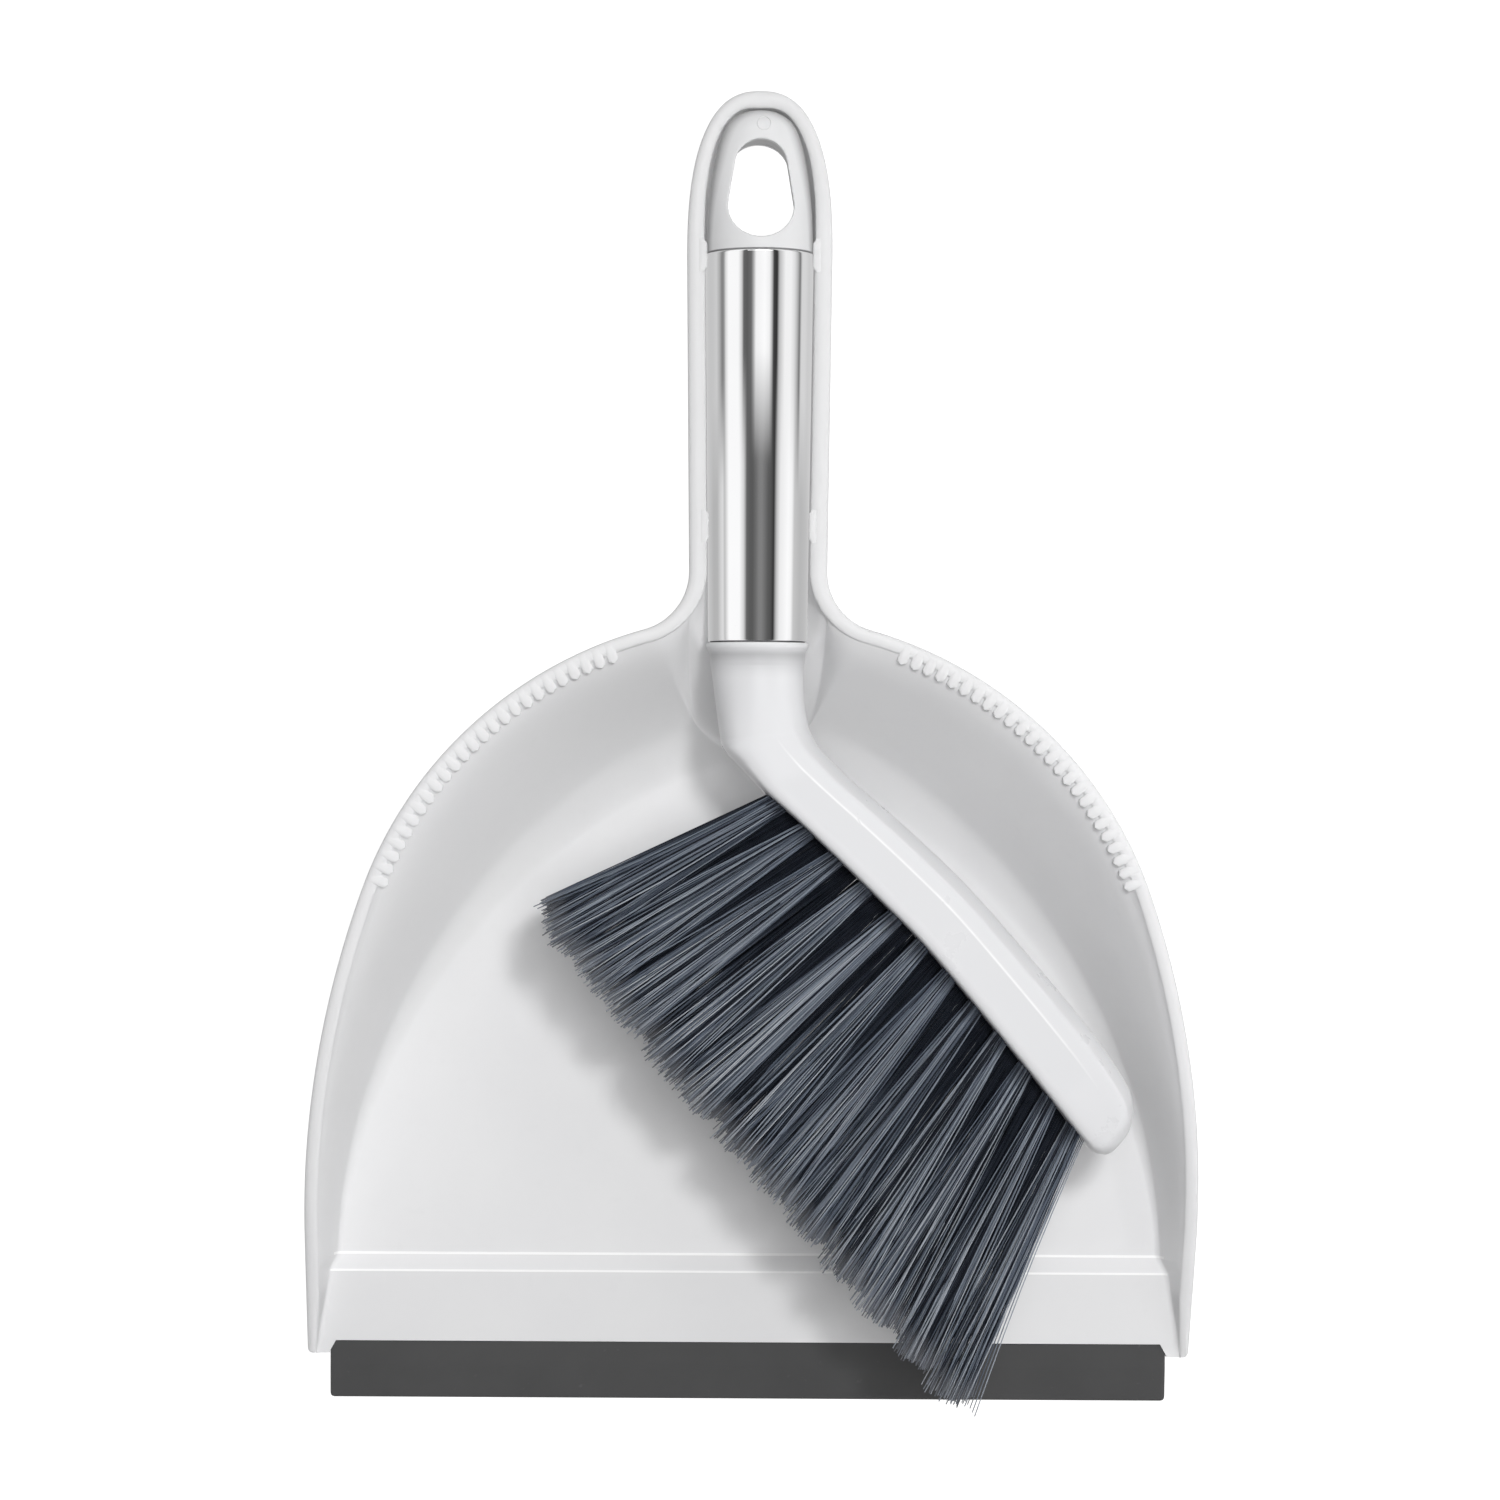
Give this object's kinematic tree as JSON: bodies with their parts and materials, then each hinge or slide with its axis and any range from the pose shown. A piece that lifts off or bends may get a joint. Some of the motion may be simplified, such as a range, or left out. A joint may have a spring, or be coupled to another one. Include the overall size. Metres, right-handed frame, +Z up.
{
  "type": "dustpan and brush",
  "caption": "Open dustpan with a rubber front lip and comb teeth; a hand brush with a steel handle and an angled bristle head clips into the pan's hollow handle.",
  "frame": {"origin": "centre of the whole set's footprint, on the surface that the pan rests on", "axes": "+Z up from the floor; +Y along the pan from its front lip to the hanging end of the handle; +X to the side that the brush head turns to"},
  "size_m": [0.2278, 0.332, 0.0595],
  "materials": {
    "pan_plastic": "satin moulded polypropylene",
    "lip_rubber": "matt",
    "head_plastic": "satin moulded polypropylene",
    "steel_tube": "polished stainless steel",
    "cap_plastic": "satin moulded plastic",
    "bristle": "soft synthetic filament",
    "staple_steel": "plain wire"
  },
  "bodies": {
    "dustpan": {"dustpan_body": "pan_plastic", "rubber_lip": "lip_rubber"},
    "brush": {"brush_head": "head_plastic", "handle_tube": "steel_tube", "hang_cap": "cap_plastic", "tuft_row_01": "bristle", "tuft_row_02": "bristle", "tuft_row_03": "bristle", "tuft_row_04": "bristle", "tuft_row_05": "bristle", "tuft_row_06": "bristle", "tuft_row_07": "bristle", "tuft_row_08": "bristle", "tuft_row_09": "bristle", "tuft_row_10": "bristle", "tuft_row_11": "bristle", "tuft_row_12": "bristle", "anchor_staples": "staple_steel"}
  },
  "joints": [
    {"name": "brush_lift", "type": "slide", "parent": "dustpan", "child": "brush", "axis": [0, 0, 1], "range_m": [0, 0.08]}
  ]
}
